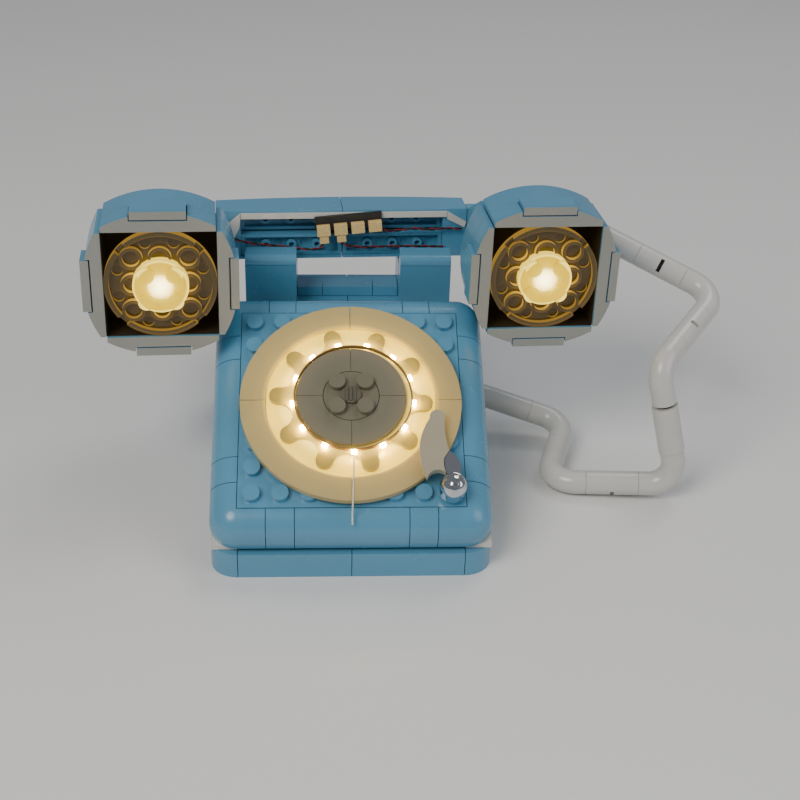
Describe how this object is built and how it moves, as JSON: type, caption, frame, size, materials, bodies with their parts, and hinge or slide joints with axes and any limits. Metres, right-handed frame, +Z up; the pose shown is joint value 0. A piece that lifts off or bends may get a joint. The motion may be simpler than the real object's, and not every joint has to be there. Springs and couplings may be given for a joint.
{
  "type": "novelty shaped telephone",
  "caption": "Retro rotary telephone in studded building-brick style, with a lit dial, lit handset cups and a rigid tube cord.",
  "frame": {"origin": "middle of the base's underside", "axes": "+X to the right as a user faces the dial, +Y towards the back, +Z up"},
  "size_m": [0.1928, 0.1059, 0.0917],
  "materials": {
    "blue_brick": "smooth moulded plastic, slightly glossy",
    "white_brick": "smooth moulded plastic",
    "cup_trim": "smooth moulded plastic",
    "black_plastic": "fine matt texture",
    "cell_steel": "brushed",
    "ring_grey": "smooth moulded plastic",
    "rotor_white": "smooth moulded plastic",
    "hub_grey": "smooth moulded plastic",
    "dark_grey": "smooth moulded plastic",
    "pin_grey": "smooth moulded plastic",
    "strip_white": "flexible printed strip",
    "lamp_glow": "lit lamp",
    "lead_white": "thin insulated wire",
    "knob_chrome": "polished",
    "blade_silver": "satin",
    "lens_clear": "clear moulded plastic",
    "disc_yellow": "clear yellow moulded plastic",
    "board_black": "solder mask",
    "socket_cream": "moulded connector",
    "wire_dark": "thin insulated wire",
    "tube_white": "smooth moulded plastic"
  },
  "bodies": {
    "phone_body": {"base_corners": "blue_brick", "base_end_tiles": "blue_brick", "base_side_tiles": "blue_brick", "base_tray": "white_brick", "bottom_cover": "black_plastic", "battery_case": "black_plastic", "coin_cells": "cell_steel", "rear_bricks": "blue_brick", "rear_plates": "blue_brick", "side_slopes": "blue_brick", "inner_walls": "white_brick", "rear_sill": "white_brick", "deck_plates": "blue_brick", "deck_tiles": "blue_brick", "cradle_posts": "blue_brick", "post_caps": "blue_brick", "cradle_rests": "blue_brick", "side_skirts": "white_brick", "dial_plate": "blue_brick", "panel_core": "blue_brick", "panel_long_edges": "blue_brick", "panel_short_edges": "blue_brick", "panel_corners": "blue_brick", "dial_ring": "ring_grey", "dial_floor": "white_brick", "led_strip": "strip_white", "led_chips": "lamp_glow", "dial_lead": "lead_white", "cord_root_tube": "tube_white"},
    "dial": {"dial_rotor": "rotor_white", "hub_tiles": "hub_grey", "hub_plate": "dark_grey", "dial_axle": "pin_grey"},
    "finger_stop": {"stop_pivot": "knob_chrome", "stop_blade": "blade_silver"},
    "handset": {"earpiece_bows": "blue_brick", "earpiece_core": "blue_brick", "earpiece_lens": "lens_clear", "earpiece_disc": "disc_yellow", "mouthpiece_bows": "blue_brick", "mouthpiece_core": "blue_brick", "mouthpiece_lens": "lens_clear", "mouthpiece_disc": "disc_yellow", "cup_trims": "cup_trim", "cup_lamps": "lamp_glow", "lamp_stems": "rotor_white", "handle_shells": "blue_brick", "upper_plates": "blue_brick", "lower_plates": "blue_brick", "handle_trim": "white_brick", "expansion_board": "board_black", "board_sockets": "socket_cream", "board_plugs": "socket_cream", "handset_leads": "wire_dark", "cord_handset_tube": "tube_white"},
    "cord_link_1": {"cord_link_1": "tube_white"},
    "cord_link_2": {"cord_link_2": "tube_white"},
    "cord_link_3": {"cord_link_3": "tube_white"},
    "cord_link_4": {"cord_link_4": "tube_white"},
    "cord_link_5": {"cord_link_5": "tube_white"}
  },
  "joints": [
    {"name": "dial_spin", "type": "hinge", "parent": "phone_body", "child": "dial", "pos_m": [0, -0.02085, 0.03746], "axis": [0, -0.5, 0.866], "continuous": true},
    {"name": "finger_stop_turn", "type": "hinge", "parent": "phone_body", "child": "finger_stop", "pos_m": [0.028, -0.0451, 0.02346], "axis": [0, -0.5, 0.866], "range_deg": [-40, 0]},
    {"name": "handset_lift", "type": "slide", "parent": "phone_body", "child": "handset", "axis": [0, 0, 1], "range_m": [0, 0.05]},
    {"name": "wall_swivel", "type": "hinge", "parent": "phone_body", "child": "cord_link_1", "pos_m": [0.05993, 0.02358, 0.00895], "axis": [0.94, -0.2663, -0.2131], "range_deg": [-15, 0]},
    {"name": "lower_swivel", "type": "hinge", "parent": "cord_link_1", "child": "cord_link_2", "pos_m": [0.06498, 0.00147, 0.00463], "axis": [-0.3116, -0.9461, -0.0882], "range_deg": [-13, 0]},
    {"name": "front_swivel", "type": "hinge", "parent": "cord_link_2", "child": "cord_link_3", "pos_m": [0.08901, -0.01316, 0.00494], "axis": [0.9919, -0.1169, 0.049], "range_deg": [-30, 30]},
    {"name": "handset_swivel", "type": "hinge", "parent": "handset", "child": "cord_link_5", "pos_m": [0.09159, 0.0324, 0.06154], "axis": [-0.8623, 0.3904, 0.3225], "range_deg": [0, 20]},
    {"name": "upper_swivel", "type": "hinge", "parent": "cord_link_5", "child": "cord_link_4", "pos_m": [0.10849, 0.01224, 0.04998], "axis": [0.6034, 0.7691, 0.2108], "range_deg": [-10, 10]}
  ],
  "couplings": [
    {"joint": "lower_swivel", "follows": "wall_swivel", "ratio": 0.85}
  ]
}
